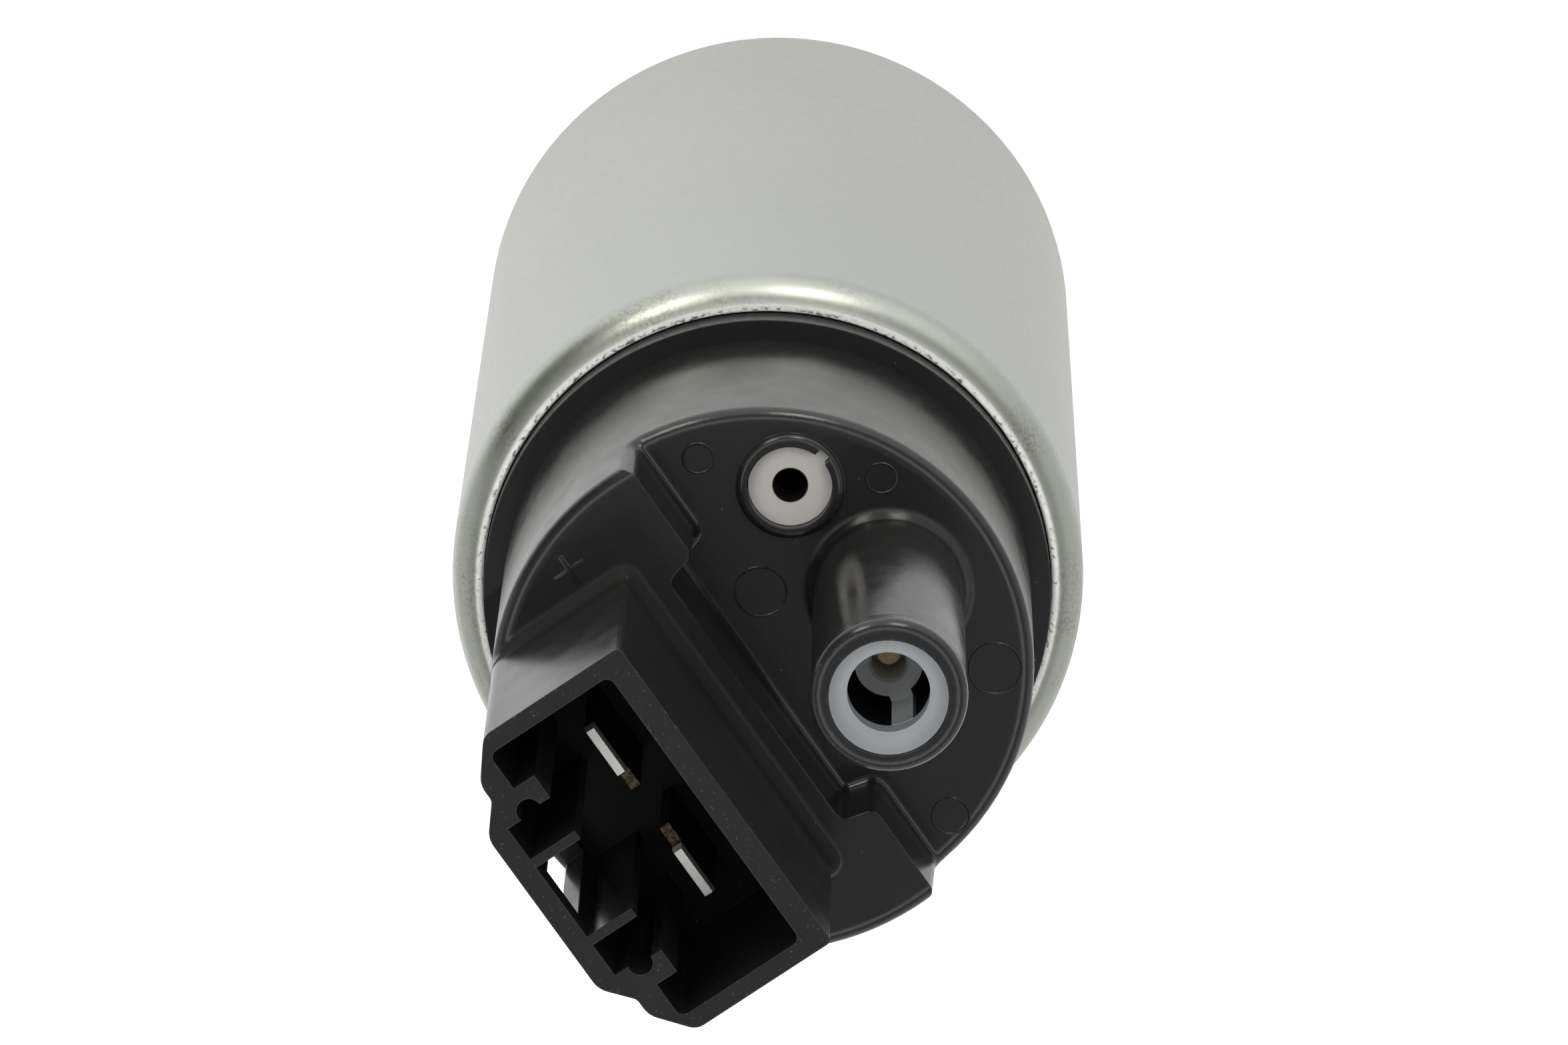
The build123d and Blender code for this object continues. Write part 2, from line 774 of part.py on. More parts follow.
# Check valve
def check_valve_guide():
    throat = turned(
        Line((guide_throat_r, mouth_floor_z), (mouth_r - press_gap, mouth_floor_z)),
        Line((mouth_r - press_gap, mouth_floor_z), (mouth_r - press_gap, mouth_z)),
        Line((mouth_r - press_gap, mouth_z), (guide_throat_r + guide_throat_edge, mouth_z)),
        RadiusArc(
            (guide_throat_r + guide_throat_edge, mouth_z),
            (guide_throat_r, mouth_z - guide_throat_edge),
            guide_throat_edge,
        ),
        Line((guide_throat_r, mouth_z - guide_throat_edge), (guide_throat_r, mouth_floor_z)),
    )
    cup = disc(cup_r, cup_end_z, cup_z)
    leg_outer = nipple_bore_r - seat_gap
    legs = block(
        (-leg_outer, -guide_leg_width / 2, cup_z - cup_floor), (leg_outer, guide_leg_width / 2, cup_z)
    ) + block((-leg_outer, -guide_leg_width / 2, cup_z), (leg_outer, guide_leg_width / 2, mouth_floor_z))
    legs -= disc(leg_outer - guide_leg_thick, cup_z, mouth_floor_z)
    legs &= disc(leg_outer, cup_end_z, mouth_floor_z)
    guide = throat + Rot(0, 0, guide_leg_turn) * legs + cup
    guide -= disc(cup_bore_r, cup_end_z + cup_floor, cup_z)
    guide -= disc(stem_r + running_gap, cup_end_z, cup_z)
    funnel_z = cup_z - 2 * cup_mouth
    funnel_r = cup_bore_r + cup_mouth
    guide -= turned_corners((0, cup_z), (funnel_r, cup_z), (cup_bore_r, funnel_z), (0, funnel_z))
    return Pos(0, nipple_y, 0) * guide


def check_valve_poppet():
    head = disc(poppet_head_r, poppet_z, poppet_top_z)
    stem = disc(stem_r, poppet_top_z, stem_z)
    spigot = disc(spigot_r, seal_z - spigot_length, poppet_z)
    return Pos(0, nipple_y, 0) * (head + stem + spigot)


def check_valve_seal():
    return ring(poppet_head_r, spigot_r + press_gap, seal_z, seal_z + seal_thick, 0, nipple_y)


def check_valve_spring():
    return coil_spring(check_spring_r, check_wire_r, check_turns, poppet_top_z, cup_end_z, 0, nipple_y)


# Relief valve
def relief_valve_plug():
    plug = disc(relief_plug_r, plug_low_z, face_z) + relief_nib(plug_low_z, face_z)
    return Pos(relief_x, relief_y, 0) * (plug - disc(relief_plug_hole_r, plug_low_z, face_z))


def relief_valve_ball():
    return Pos(relief_x, relief_y, ball_z) * Sphere(relief_ball_r)


def relief_valve_spring():
    place = (relief_spring_z, plug_low_z, relief_x, relief_y)
    return coil_spring(relief_spring_r, relief_wire_r, relief_turns, *place)


# Motor
def bearing(low, length):
    return ring(bearing_r, slide_r, low, low + length)


def magnet():
    outer = case_bore_r - press_gap
    face = sector(magnet_inner_r, outer, 90 - magnet_half_turn, 90 + magnet_half_turn)
    return Pos(0, 0, magnet_low_z) * extrude(face, magnet_high_z - magnet_low_z)


def magnet_clip():
    outer = case_bore_r - press_gap
    half_turn = 90 - magnet_half_turn
    leg_turn = degrees(clip_thick / clip_leg_r)
    gap_turn = degrees(press_gap / clip_leg_r)
    band = sector(outer - clip_thick, outer, -half_turn + gap_turn, half_turn - gap_turn)
    for side in (1, -1):
        tip = side * (half_turn - gap_turn)
        root = side * (half_turn - gap_turn - leg_turn)
        band += sector(clip_leg_r, outer, min(tip, root), max(tip, root))
    low = magnet_low_z + clip_inset
    return Pos(0, 0, low) * extrude(band, magnet_high_z - clip_inset - low)


def flat_cut(grow=0.0):
    face_x = shaft_r - flat_depth + grow
    return block((face_x, -outside, -outside), (outside, outside, pocket_z + flat_run))


def armature_shaft():
    return disc(shaft_r, shaft_bottom_z, shaft_top_z) - flat_cut()


def slot_face(inset=0.0):
    floor_r = slot_floor_r + inset
    top_r = slot_top_r - inset
    return make_face(
        Polyline(
            (floor_r, inset - slot_floor_half),
            (top_r, inset - slot_top_half),
            (top_r, slot_top_half - inset),
            (floor_r, slot_floor_half - inset),
            close=True,
        )
    )


def armature_core():
    lamination = Circle(core_r) - Circle(shaft_r + press_gap)
    middle_r = (slot_floor_r + slot_top_r) / 2
    mouth = Pos(core_r, 0) * Rectangle(2 * (core_r - middle_r), slot_mouth)
    slot = slot_face() + mouth
    for cut in around(slot_count, slot):
        lamination -= cut
    return Pos(0, 0, core_low_z) * extrude(lamination, core_high_z - core_low_z)


def winding_crown_ring(low, high):
    crown = ring(winding_outer_r, winding_inner_r, low, high)
    return fillet(crown.edges().filter_by(GeomType.CIRCLE), winding_round)


def armature_windings():
    low = core_low_z - slot_liner
    high = core_high_z + slot_liner
    wound = winding_crown_ring(low - winding_crown, low) + winding_crown_ring(high, high + winding_crown)
    bundle = Pos(0, 0, low - winding_round) * extrude(slot_face(slot_liner), high - low + 2 * winding_round)
    for coil_side in around(slot_count, bundle):
        wound += coil_side
    return wound


def commutator_hub():
    high = commutator_top_z - segment_thick
    hub = ring(commutator_r, shaft_r + press_gap, commutator_hub_z, high)
    return hub + ring(commutator_bore_r - press_gap, shaft_r + press_gap, high, commutator_top_z)


def commutator_segments():
    low = commutator_top_z - segment_thick
    blank = ring(commutator_r, commutator_bore_r, low, commutator_top_z)
    slit = block((0, -segment_gap / 2, low), (outside, segment_gap / 2, commutator_top_z))
    for cut in around(slot_count, slit, 180 / slot_count):
        blank -= cut
    return blank


# Pump stage
def channel(low, high):
    face = sector(channel_inner_r, channel_outer_r, inlet_turn, inlet_turn + channel_turn)
    return Pos(0, 0, low) * extrude(face, high - low)


def pump_casing():
    bearing_bore = bearing_r + press_gap
    shaft_bore = slide_r + shaft_clear
    casing = turned_corners(
        (cover_r, split_z),
        (cover_r, casing_seat_z),
        (casing_rim_r, casing_seat_z),
        (casing_rim_r, top_plate_z),
        (casing_boss_r, top_plate_z),
        (casing_boss_r, casing_boss_top_z),
        (bearing_bore, casing_boss_top_z),
        (bearing_bore, lower_bearing_z),
        (shaft_bore, lower_bearing_z),
        (shaft_bore, pocket_z),
        (pocket_r, pocket_z),
        (pocket_r, split_z),
    )
    casing -= channel(pocket_z, pocket_z + channel_depth)
    port_turn = inlet_turn + channel_turn - port_inset_turn
    port_x, port_y = on_circle((channel_inner_r + channel_outer_r) / 2, port_turn)
    return casing - disc(port_r, pocket_z, top_plate_z, port_x, port_y)


def vane_pocket():
    root_half = pi * vane_root_r / vane_count - vane_thick / 2
    tip_half = pi * vane_tip_r / vane_count - vane_thick / 2
    corners = [
        (vane_root_r, -root_half),
        (vane_tip_r, -tip_half),
        (vane_tip_r, tip_half),
        (vane_root_r, root_half),
    ]
    outline = make_face(Polyline(*corners, close=True))
    middle_z = (impeller_low_z + impeller_high_z) / 2
    swept = Rot(0, 0, vane_sweep) * outline
    lower = loft([Pos(0, 0, impeller_low_z) * swept, Pos(0, 0, middle_z) * outline], ruled=True)
    upper = loft([Pos(0, 0, middle_z) * outline, Pos(0, 0, impeller_high_z) * swept], ruled=True)
    return lower + upper


def impeller():
    wheel = disc(impeller_r, impeller_low_z, impeller_high_z)
    wheel -= disc(slide_r, impeller_low_z, impeller_high_z) - flat_cut(running_gap)
    balance_hole = disc(balance_hole_r, impeller_low_z, impeller_high_z, balance_hole_at_r)
    wheel -= around(balance_hole_count, balance_hole)
    return wheel - around(vane_count, vane_pocket())


def inlet_cover():
    edges, shoulder = shoulder_edges(-1, split_z)
    plate = turned(*edges, Polyline(shoulder, (collar_r, inlet_face_z), (0, inlet_face_z), (0, split_z)))
    inlet_x, inlet_y = on_circle(inlet_at_r, inlet_turn + inlet_ahead_turn)
    tube = disc(inlet_tube_r, inlet_end_z, split_z)
    tube = fillet(tube.edges().filter_by_position(Axis.Z, inlet_end_z, inlet_end_z), inlet_tube_edge)
    peg_x, peg_y = on_circle(peg_at_r, peg_turn)
    peg = disc(peg_r, inlet_face_z - peg_length, split_z, peg_x, peg_y)
    cover = plate + Pos(inlet_x, inlet_y, 0) * tube + peg
    cover -= channel(split_z - channel_depth, split_z)
    cover -= disc(inlet_bore_r, inlet_end_z, split_z - channel_depth / 2, inlet_x, inlet_y)
    cover -= disc(thrust_pad_r + press_gap, thrust_pad_z, split_z)
    vapour_x, vapour_y = on_circle((channel_inner_r + channel_outer_r) / 2, vapour_turn)
    return cover - disc(vapour_hole_r, inlet_face_z, split_z, vapour_x, vapour_y)


def thrust_pad():
    return disc(thrust_pad_r, thrust_pad_z, thrust_pad_z + thrust_pad_thick)


def pair(name, shape):
    return {name + "_positive": mirror(shape, Plane.YZ), name + "_negative": shape}


nodes = {
    "case_tube": case_tube(),
    "outlet_cover": outlet_cover(),
    "check_valve_guide": check_valve_guide(),
    "check_valve_poppet": check_valve_poppet(),
    "check_valve_seal": check_valve_seal(),
    "check_valve_spring": check_valve_spring(),
    "relief_valve_plug": relief_valve_plug(),
    "relief_valve_ball": relief_valve_ball(),
    "relief_valve_spring": relief_valve_spring(),
    "choke_cores": Compound(children=both_sides(choke_core())),
    "choke_windings": Compound(children=both_sides(choke_winding())),
    "upper_bearing": bearing(upper_bearing_z, upper_bearing_length),
    "lower_bearing": bearing(lower_bearing_z, lower_bearing_length),
    "magnet_north": magnet(),
    "magnet_south": Rot(0, 0, 180) * magnet(),
    "magnet_springs": Compound(children=both_sides(magnet_clip())),
    "armature_shaft": armature_shaft(),
    "armature_core": armature_core(),
    "armature_windings": armature_windings(),
    "commutator_hub": commutator_hub(),
    "commutator_segments": commutator_segments(),
    "pump_casing": pump_casing(),
    "impeller": impeller(),
    "inlet_cover": inlet_cover(),
    "thrust_pad": thrust_pad(),
}
nodes.update(pair("terminal", terminal()))
nodes.update(pair("brush_strap", brush_strap()))
nodes.update(pair("brush", brush()))
nodes.update(pair("brush_spring", brush_spring()))
nodes.update(pair("brush_lead", brush_lead()))

for name, shape in nodes.items():
    export_step(shape, f"parts/{name}.step")
print(len(nodes), "pieces written")
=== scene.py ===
import json
from math import cos, pi, radians, sin

import bmesh
import bpy
from mathutils import Matrix, Vector

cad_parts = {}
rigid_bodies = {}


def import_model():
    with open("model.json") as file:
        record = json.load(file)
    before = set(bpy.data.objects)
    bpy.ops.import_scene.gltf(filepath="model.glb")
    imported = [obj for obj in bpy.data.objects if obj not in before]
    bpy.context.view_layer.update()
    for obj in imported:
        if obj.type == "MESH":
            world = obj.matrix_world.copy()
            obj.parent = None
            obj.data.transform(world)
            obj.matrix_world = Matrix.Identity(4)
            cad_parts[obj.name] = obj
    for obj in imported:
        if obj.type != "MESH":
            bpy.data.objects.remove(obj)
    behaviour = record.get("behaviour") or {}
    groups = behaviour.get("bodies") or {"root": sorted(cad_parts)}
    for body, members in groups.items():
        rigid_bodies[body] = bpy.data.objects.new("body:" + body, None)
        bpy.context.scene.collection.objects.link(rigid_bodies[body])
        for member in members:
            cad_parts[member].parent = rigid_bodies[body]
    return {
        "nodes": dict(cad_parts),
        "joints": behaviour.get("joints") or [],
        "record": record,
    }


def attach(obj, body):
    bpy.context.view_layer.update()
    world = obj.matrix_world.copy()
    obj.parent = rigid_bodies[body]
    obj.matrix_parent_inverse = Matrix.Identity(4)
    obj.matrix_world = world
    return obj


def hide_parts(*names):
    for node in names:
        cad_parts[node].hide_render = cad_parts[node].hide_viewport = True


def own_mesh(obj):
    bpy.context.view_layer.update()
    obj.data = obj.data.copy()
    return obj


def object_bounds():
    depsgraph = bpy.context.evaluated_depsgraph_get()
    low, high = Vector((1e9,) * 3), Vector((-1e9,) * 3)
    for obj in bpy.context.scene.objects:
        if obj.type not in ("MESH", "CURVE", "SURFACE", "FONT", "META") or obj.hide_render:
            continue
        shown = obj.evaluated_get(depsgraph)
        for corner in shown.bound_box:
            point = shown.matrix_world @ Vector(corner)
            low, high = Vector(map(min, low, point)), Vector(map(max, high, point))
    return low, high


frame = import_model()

MM = 0.001
cad_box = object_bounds()
scene = bpy.context.scene

# Camera, fitted to the circles of the case and the cover in the photograph
image_width = 2352
focal_px = 15087.0
camera_heading = -126.66
camera_tilt = 16.311
camera_spin = 182.145
aim_offset = Vector((1.0, 3.92, 603.56)) * MM
lip_centre = Vector((0, 0, 32.1)) * MM

# Compass directions of the studio, level with the floor
image_up = Vector((-0.825, 0.565, 0))
image_left = Vector((-0.565, -0.825, 0))
dark_side = Vector((-0.927, -0.375, 0))

# Heights on the part, in millimetres
lip_bend_low = 29.9
lip_crest = 31.0
collar_top = 33.4
face_top = 49.1
plateau_top = 54.1
blade_shoulder = 61.5
socket_rim = 68.6

# Places and radii on the part, in millimetres
vent = (-8.449, 7.699)
nipple = (0, 8.85)
nipple_foot_r = 4.85
cavity_half_x = 9.5
cavity_back_y = -3.75
housing_back_y = -1.4
lip_mouth_r = 17.4
plus_at = (-12.6, -4.85)
pin_marks = [(-12.8, 4.2, 0.9), (-5.8, 12.3, 0.9), (-4.1, 2.6, 1.5), (7.5, 11.25, 1.55), (13.5, 4.0, 1.1)]
drum_r = 15.8

# Light levels, where 1 is white
sky_top = 0.34
sky_ring = 1.7
sky_mid = 0.32
sky_low = 0.75
sky_back = 1.25
sky_dark = 0.12
floor_glow = 0.3
floor_tilt = 0.13
floor_seen = 0.25

# Where each band of the sky begins and is full, where 1 is overhead, and its light level
sky_bands = [(0.12, 0.3, sky_mid), (0.56, 0.7, sky_ring), (0.8, 0.9, sky_top)]

floor_radius = 125 * MM
floor_gap = 0.1 * MM

# Painted shade: the vent's hole is dark in the photograph, so its wall and the guessed pieces under it are
# painted near black too
vent_shade_colour = (0.02, 0.013, 0.008, 1)
vent_bore_r = 2.0
vent_bore_low = 38.0


def make_camera():
    data = bpy.data.cameras.new("camera")
    data.sensor_width = 36.0
    data.lens = data.sensor_width * focal_px / image_width
    camera = bpy.data.objects.new("camera", data)
    scene.collection.objects.link(camera)
    turn = Matrix.Rotation(radians(camera_heading), 3, "Z")
    turn @= Matrix.Rotation(radians(camera_tilt), 3, "X")
    turn @= Matrix.Rotation(radians(camera_spin), 3, "Z")
    place = Matrix.Translation(lip_centre + turn @ aim_offset)
    camera.matrix_world = place @ turn.to_4x4()
    scene.camera = camera


# Node helpers
def add(tree, kind, settings=None, inputs=None):
    node = tree.nodes.new("ShaderNode" + kind)
    for key, value in (settings or {}).items():
        setattr(node, key, value)
    for key, value in (inputs or {}).items():
        if isinstance(value, bpy.types.NodeSocket):
            tree.links.new(value, node.inputs[key])
        else:
            node.inputs[key].default_value = value
    return node


def grey(level):
    return (level, level, level, 1)


class Finish:
    """One procedural material: its tree, its shader, and its textures in millimetres of the part."""

    def __init__(self, name, metallic, roughness):
        self.material = bpy.data.materials.new(name)
        self.material.use_nodes = True
        self.tree = self.material.node_tree
        self.shader = self.tree.nodes["Principled BSDF"]
        self.shader.inputs["Metallic"].default_value = metallic
        self.shader.inputs["Roughness"].default_value = roughness
        place = add(self.tree, "TexCoord").outputs["Object"]
        self.place = self.scaled(place, (1 / MM, 1 / MM, 1 / MM))

    def scaled(self, vector, scale):
        inputs = {"Vector": vector, "Scale": scale}
        return add(self.tree, "Mapping", inputs=inputs).outputs["Vector"]

    def noise(self, per_mm, detail=2.0, stretch=(1, 1, 1)):
        scale = tuple(per_mm * s for s in stretch)
        inputs = {"Vector": self.scaled(self.place, scale), "Scale": 1.0, "Detail": detail}
        return add(self.tree, "TexNoise", inputs=inputs).outputs["Fac"]

    def ramp(self, value, low, high, start=0.0, end=1.0):
        inputs = {"Value": value, "From Min": start, "From Max": end, "To Min": low, "To Max": high}
        return add(self.tree, "MapRange", inputs=inputs).outputs["Result"]

    def mix(self, amount, first, second):
        inputs = {0: amount, 6: first, 7: second}
        return add(self.tree, "Mix", {"data_type": "RGBA"}, inputs).outputs[2]

    def along(self, axis):
        return add(self.tree, "SeparateXYZ", inputs={"Vector": self.place}).outputs[axis]

    def height(self):
        return self.along("Z")

    def from_axis(self, x, y):
        """Distance in millimetres from an upright line."""
        inputs = {0: self.level(self.place), 1: (x, y, 0)}
        return add(self.tree, "VectorMath", {"operation": "DISTANCE"}, inputs).outputs["Value"]

    def math(self, operation, *values):
        return add(self.tree, "Math", {"operation": operation}, dict(enumerate(values))).outputs[0]

    def product(self, first, second):
        return self.math("MULTIPLY", first, second)

    def vector(self, operation, inputs):
        return add(self.tree, "VectorMath", {"operation": operation}, inputs).outputs["Vector"]

    def level(self, vector):
        """A vector without its height."""
        return self.vector("MULTIPLY", {0: vector, 1: (1, 1, 0)})

    def specks(self, per_mm, share, small, large):
        """Round spots in a share of the cells of a grid."""
        cell = self.scaled(self.place, (per_mm, per_mm, per_mm))
        spots = add(self.tree, "TexVoronoi", inputs={"Vector": cell, "Scale": 1.0})
        chance = add(self.tree, "SeparateColor", inputs={"Color": spots.outputs["Color"]}).outputs["Red"]
        near = self.ramp(spots.outputs["Distance"], 1.0, 0.0, small, large)
        return self.product(near, self.math("LESS_THAN", chance, share))

    def colour(self, value):
        self.tree.links.new(value, self.shader.inputs["Base Color"])

    def rough(self, value):
        self.tree.links.new(value, self.shader.inputs["Roughness"])

    def slanted_up(self, slant):
        """Normal of a cone around the part's axis, at one slant from level."""
        outward = self.vector("NORMALIZE", {0: self.level(self.place)})
        spread = self.vector("MULTIPLY", {0: outward, 1: (sin(slant), sin(slant), 0)})
        return self.vector("ADD", {0: spread, 1: (0, 0, cos(slant))})

    def mixed_normal(self, amount, first, second):
        node = add(self.tree, "Mix", {"data_type": "VECTOR"}, {0: amount, 4: first, 5: second})
        return self.vector("NORMALIZE", {0: node.outputs[1]})

    def bevelled(self, radius):
        return add(self.tree, "Bevel", {"samples": 6}, {"Radius": radius}).outputs["Normal"]

    def bumped(self, height, depth_mm, normal):
        inputs = {"Height": height, "Distance": depth_mm * MM, "Strength": 1.0, "Normal": normal}
        self.normal(add(self.tree, "Bump", inputs=inputs).outputs["Normal"])

    def normal(self, value):
        self.tree.links.new(value, self.shader.inputs["Normal"])

    def relief(self, height, depth_mm, edge_mm):
        self.bumped(height, depth_mm, self.bevelled(edge_mm * MM))


# Finishes
def zinc_steel():
    look = Finish("zinc_steel", 1.0, 0.34)
    cloud = look.noise(0.055, 3.0)
    hue = look.mix(look.ramp(cloud, 0, 1, 0.35, 0.65), (0.42, 0.445, 0.415, 1), (0.46, 0.455, 0.435, 1))
    grain = look.noise(2.4, 4.0)
    shade = look.mix(look.ramp(grain, 0, 1, 0.35, 0.65), hue, (0.47, 0.465, 0.44, 1))
    drift = look.ramp(look.height(), 0, 1, -20.0, 26.0)
    shade = look.mix(look.product(drift, look.ramp(cloud, 0.3, 0.8)), shade, (0.435, 0.462, 0.435, 1))
    shade = look.mix(look.specks(2.2, 0.1, 0.02, 0.1), shade, (0.34, 0.33, 0.31, 1))
    shade = look.mix(look.specks(2.9, 0.1, 0.02, 0.1), shade, (0.62, 0.61, 0.59, 1))
    bend = look.ramp(look.height(), 0, 1, lip_bend_low, lip_bend_low + 0.7)
    shade = look.mix(look.product(bend, look.ramp(cloud, 0.2, 0.6)), shade, (0.45, 0.475, 0.4, 1))
    patch = look.ramp(look.noise(0.16, 2.0), 0, 1, 0.42, 0.6)
    crackle = look.product(patch, look.ramp(look.noise(4.5, 5.0), 0, 1, 0.45, 0.6))
    shade = look.mix(look.product(bend, crackle), shade, (0.34, 0.35, 0.3, 1))
    # Painted highlight: a brighter, mottled colour on the lip's mouth edge above the crest, with its
    # shading normal slanted up
    crest = look.ramp(look.height(), 0, 1, lip_crest, lip_crest + 0.1)
    painted_lip_highlight = look.ramp(look.from_axis(0, 0), 1, 0, lip_mouth_r + 0.04, lip_mouth_r + 0.26)
    painted_lip_highlight = look.product(crest, look.product(painted_lip_highlight, look.ramp(look.noise(3.0, 3.0), 0.6, 1.0, 0.35, 0.5)))
    look.colour(look.mix(painted_lip_highlight, shade, (0.66, 0.655, 0.63, 1)))
    look.rough(look.ramp(look.noise(1.8, 4.0), 0.31, 0.36, 0.3, 0.7))
    rounded = look.mixed_normal(painted_lip_highlight, look.bevelled(0.22 * MM), look.slanted_up(radians(22)))
    look.bumped(look.noise(5.0, 3.0), 0.0025, rounded)
    return look.material


def black_plastic():
    look = Finish("black_plastic", 0.0, 0.22)
    base = look.mix(look.noise(0.22, 4.0), (0.0125, 0.0125, 0.0125, 1), (0.0185, 0.0185, 0.018, 1))
    base = look.mix(look.specks(2.0, 0.04, 0.02, 0.12), base, grey(0.2))
    rim = look.ramp(look.height(), 0, 1, socket_rim - 0.3, socket_rim - 0.05)
    scuffs = look.ramp(look.noise(4.5, 3.0), 0, 1, 0.64, 0.72)
    look.colour(look.mix(look.product(rim, scuffs), base, grey(0.06)))
    within = look.product(
        look.ramp(look.math("ABSOLUTE", look.along("X")), 1, 0, cavity_half_x - 0.2, cavity_half_x),
        look.ramp(look.along("Y"), 1, 0, cavity_back_y - 0.1, cavity_back_y + 0.1),
    )
    deep = look.product(within, look.ramp(look.height(), 1, 0, socket_rim - 6, socket_rim - 0.5))
    housing = look.product(
        look.ramp(look.height(), 0, 1, plateau_top + 0.01, plateau_top + 0.06),
        look.ramp(look.along("Y"), 1, 0, housing_back_y, housing_back_y + 0.2),
    )
    foot = look.product(housing, look.ramp(look.height(), 1, 0, plateau_top + 0.7, plateau_top + 1.0))
    dull = look.ramp(look.math("MAXIMUM", deep, foot), 0.5, 0.22)
    look.tree.links.new(dull, look.shader.inputs["Specular IOR Level"])
    satin = look.ramp(look.noise(0.5, 3.0), 0.16, 0.24, 0.3, 0.7)
    look.rough(look.math("MULTIPLY_ADD", foot, 0.45, satin))
    off_corner = look.ramp(look.height(), 0, 1, collar_top + 0.15, collar_top + 0.25)
    outside = look.ramp(look.from_axis(0, 0), 0, 1, drum_r + 0.4, drum_r + 0.5)
    off_plus = look.ramp(look.from_axis(*plus_at), 0, 1, 1.3, 1.5)
    rounded = look.product(look.math("MAXIMUM", off_corner, outside), off_plus)
    plain = add(look.tree, "NewGeometry").outputs["Normal"]
    low = look.ramp(look.height(), 1, 0, face_top + 0.7, face_top + 0.9)
    near = look.ramp(look.from_axis(*nipple), 1, 0, nipple_foot_r + 0.3, nipple_foot_r + 0.5)
    radius = look.ramp(look.product(low, near), 0.12 * MM, 0.45 * MM)
    grain = look.product(look.noise(3.2, 3.0), look.ramp(housing, 1.0, 0.2))
    look.bumped(grain, 0.006, look.mixed_normal(rounded, plain, look.bevelled(radius)))
    return look.material


def tinned_brass():
    look = Finish("tinned_brass", 1.0, 0.5)
    tip = look.mix(look.noise(1.2, 4.0), (0.97, 0.955, 0.93, 1), (0.86, 0.845, 0.82, 1))
    mottle = look.ramp(look.noise(4.0, 4.0), 0, 1, 0.4, 0.6)
    brown = look.mix(mottle, (0.17, 0.135, 0.1, 1), (0.05, 0.04, 0.03, 1))
    # Below the shoulder: brown tarnish on faces that look up, and painted shade, near black, on the
    # blade's sides; the tip above is clean tin
    normal = add(look.tree, "NewGeometry").outputs["Normal"]
    facing_up = add(look.tree, "SeparateXYZ", inputs={"Vector": normal}).outputs["Z"]
    tarnish_and_painted_shade = look.mix(look.ramp(facing_up, 0, 1, 0.3, 0.7), (0.06, 0.045, 0.035, 1), brown)
    above = look.ramp(look.height(), 0, 1, blade_shoulder - 0.1, blade_shoulder + 0.1)
    look.colour(look.mix(above, tarnish_and_painted_shade, tip))
    look.rough(look.ramp(look.noise(4.0, 3.0, (3, 3, 0.3)), 0.5, 0.65))
    look.relief(look.noise(5.0, 3.0, (3, 3, 0.3)), 0.028, edge_mm=0.06)
    return look.material


def moulded(name, light, dark, roughness):
    look = Finish(name, 0.0, roughness)
    look.colour(look.mix(look.noise(0.7, 3.0), light, dark))
    look.rough(look.ramp(look.noise(1.4, 3.0), roughness - 0.05, roughness + 0.08))
    look.relief(look.noise(5.0, 3.0), 0.006, edge_mm=0.06)
    return look.material


def guide_plastic():
    look = Finish("white_plastic", 0.0, 0.36)
    pale = look.mix(look.noise(0.7, 3.0), (0.44, 0.465, 0.485, 1), (0.4, 0.425, 0.445, 1))
    inside = look.ramp(look.height(), 1, 0, 65.5, 68.0)
    look.colour(look.mix(inside, pale, (0.78, 0.79, 0.79, 1)))
    look.rough(look.ramp(look.noise(1.4, 3.0), 0.32, 0.44))
    look.relief(look.noise(5.0, 3.0), 0.006, edge_mm=0.06)
    return look.material


def vent_plastic():
    look = Finish("warm_white_plastic", 0.0, 0.45)
    pale = look.mix(look.noise(0.7, 3.0), (0.78, 0.755, 0.7, 1), (0.7, 0.675, 0.62, 1))
    # Painted shade: the wall of the vent's hole is coloured near black
    inside = look.ramp(look.from_axis(*vent), 1, 0, 1.02, 1.08)
    look.colour(look.mix(inside, pale, vent_shade_colour))
    look.rough(look.ramp(look.noise(1.4, 3.0), 0.4, 0.53))
    look.relief(look.noise(5.0, 3.0), 0.006, edge_mm=0.06)
    return look.material


def metal(name, light, dark, low_rough, high_rough, per_mm=2.0, stretch=(1, 1, 1), depth_mm=0.008):
    """A metal, with painted shade under the vent: near black there."""
    look = Finish(name, 1.0, low_rough)
    clean = look.mix(look.noise(per_mm / 3, 4.0, stretch), light, dark)
    # Painted shade: near black inside the vent's bore, above its low end
    near_vent = look.ramp(look.from_axis(*vent), 1, 0, vent_bore_r - 0.1, vent_bore_r + 0.1)
    above = look.ramp(look.height(), 0, 1, vent_bore_low - 0.1, vent_bore_low + 0.1)
    painted_vent_shade = look.product(near_vent, above)
    look.colour(look.mix(painted_vent_shade, clean, vent_shade_colour))
    look.rough(look.ramp(look.noise(per_mm, 4.0, stretch), low_rough, high_rough, 0.3, 0.7))
    look.relief(look.noise(2 * per_mm, 3.0, stretch), depth_mm, edge_mm=0.08)
    return look.material


def electrical_steel():
    look = Finish("electrical_steel", 1.0, 0.4)
    line = look.ramp(look.math("PINGPONG", look.height(), 0.25), 0.0, 1.0, 0.0, 0.05)
    look.colour(look.mix(line, (0.12, 0.12, 0.13, 1), (0.36, 0.37, 0.39, 1)))
    look.relief(line, 0.03, edge_mm=0.08)
    return look.material


